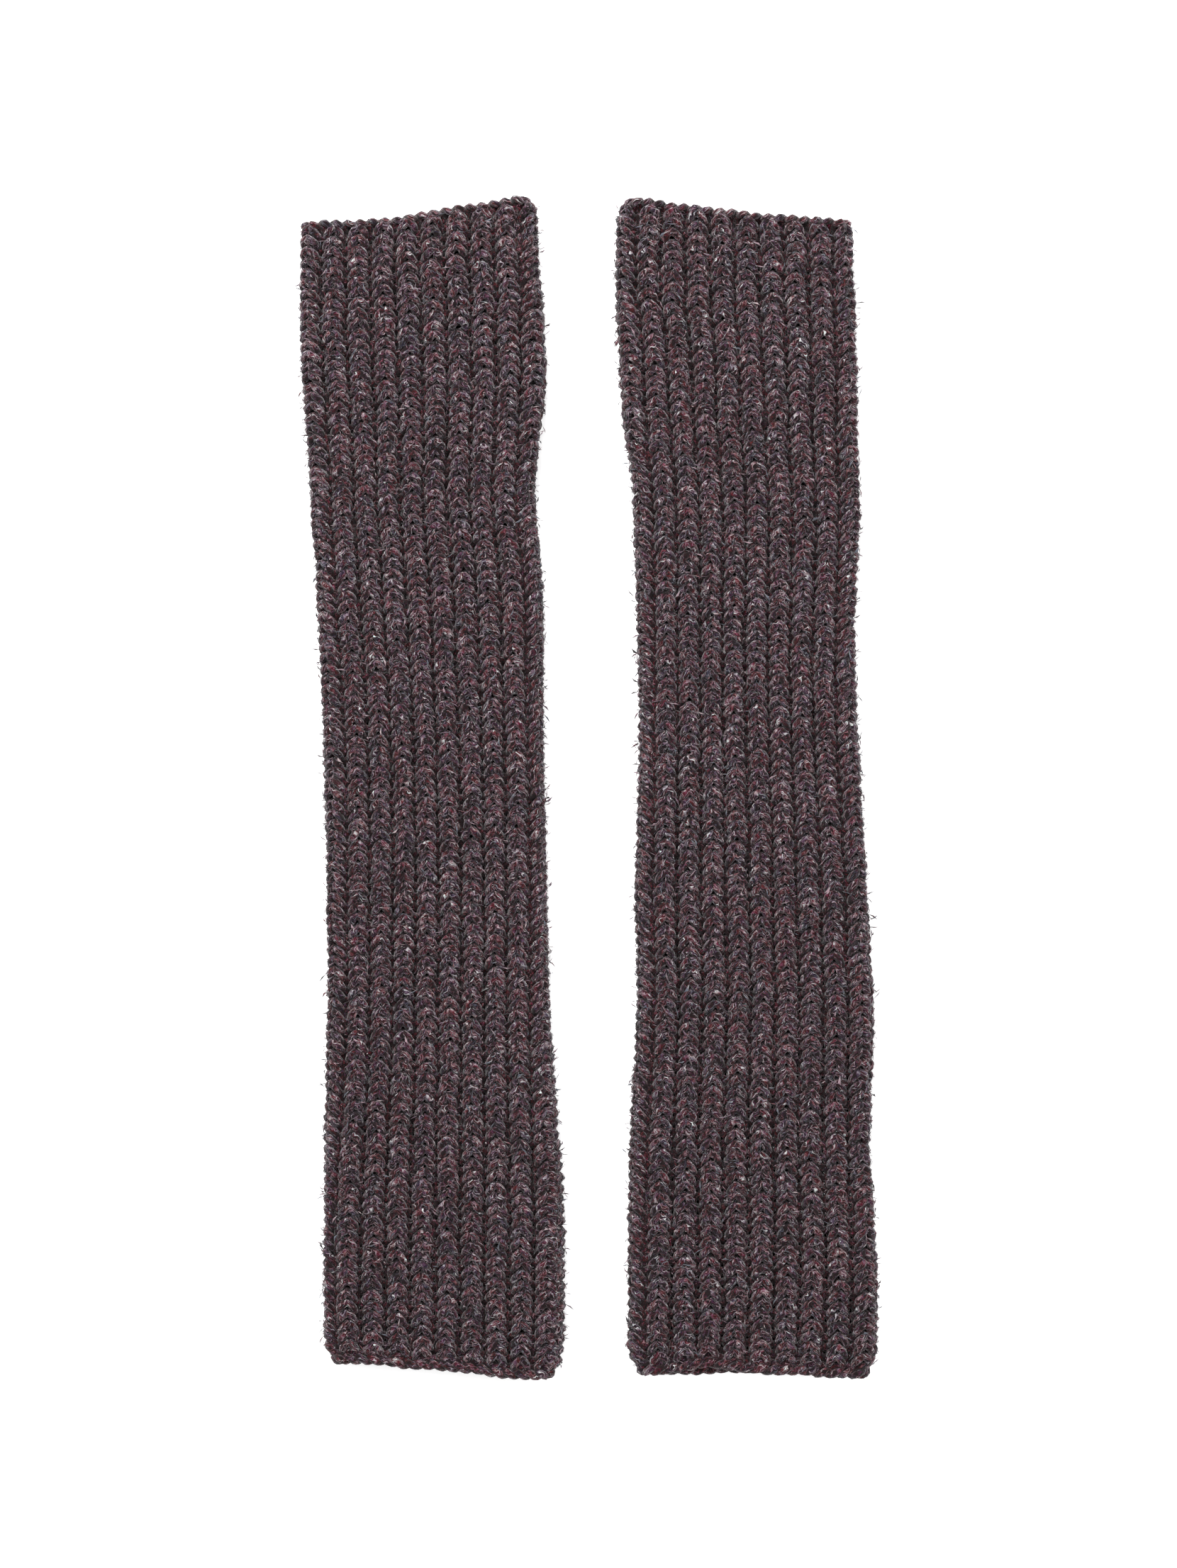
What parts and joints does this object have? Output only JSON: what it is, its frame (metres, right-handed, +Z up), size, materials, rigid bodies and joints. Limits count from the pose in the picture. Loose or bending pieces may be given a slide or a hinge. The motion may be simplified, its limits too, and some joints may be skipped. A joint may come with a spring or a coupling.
{
  "type": "fingerless gloves",
  "caption": "Long rib-knit fingerless gloves lying flat: each a folded knitted sleeve, open at hand and forearm, with a side seam left open for the thumb.",
  "frame": {"origin": "under the middle of the pair as it lies flat, on the surface that it lies on", "axes": "+Y along the sleeves towards the hand ends, +X from the left glove to the right glove, +Z up, away from the surface"},
  "size_m": [0.2106, 0.431, 0.0156],
  "materials": {
    "panel_yarn": "matte marl wool in burgundy, grey and tan, rib knit with a soft fibre halo",
    "seam_yarn": "matte marl wool yarn, whipped over the joined edges",
    "tack_yarn": "matte marl wool yarn, a few close wraps"
  },
  "bodies": {
    "left_glove": {"left_knit_panel": "panel_yarn", "left_hand_seam": "seam_yarn", "left_arm_seam": "seam_yarn", "left_upper_thumb_tack": "tack_yarn", "left_lower_thumb_tack": "tack_yarn"},
    "right_glove": {"right_knit_panel": "panel_yarn", "right_hand_seam": "seam_yarn", "right_arm_seam": "seam_yarn", "right_upper_thumb_tack": "tack_yarn", "right_lower_thumb_tack": "tack_yarn"}
  },
  "joints": [
    {"name": "pair_spacing", "type": "slide", "parent": "left_glove", "child": "right_glove", "axis": [1, 0, 0], "range_m": [0, 0.15]}
  ]
}
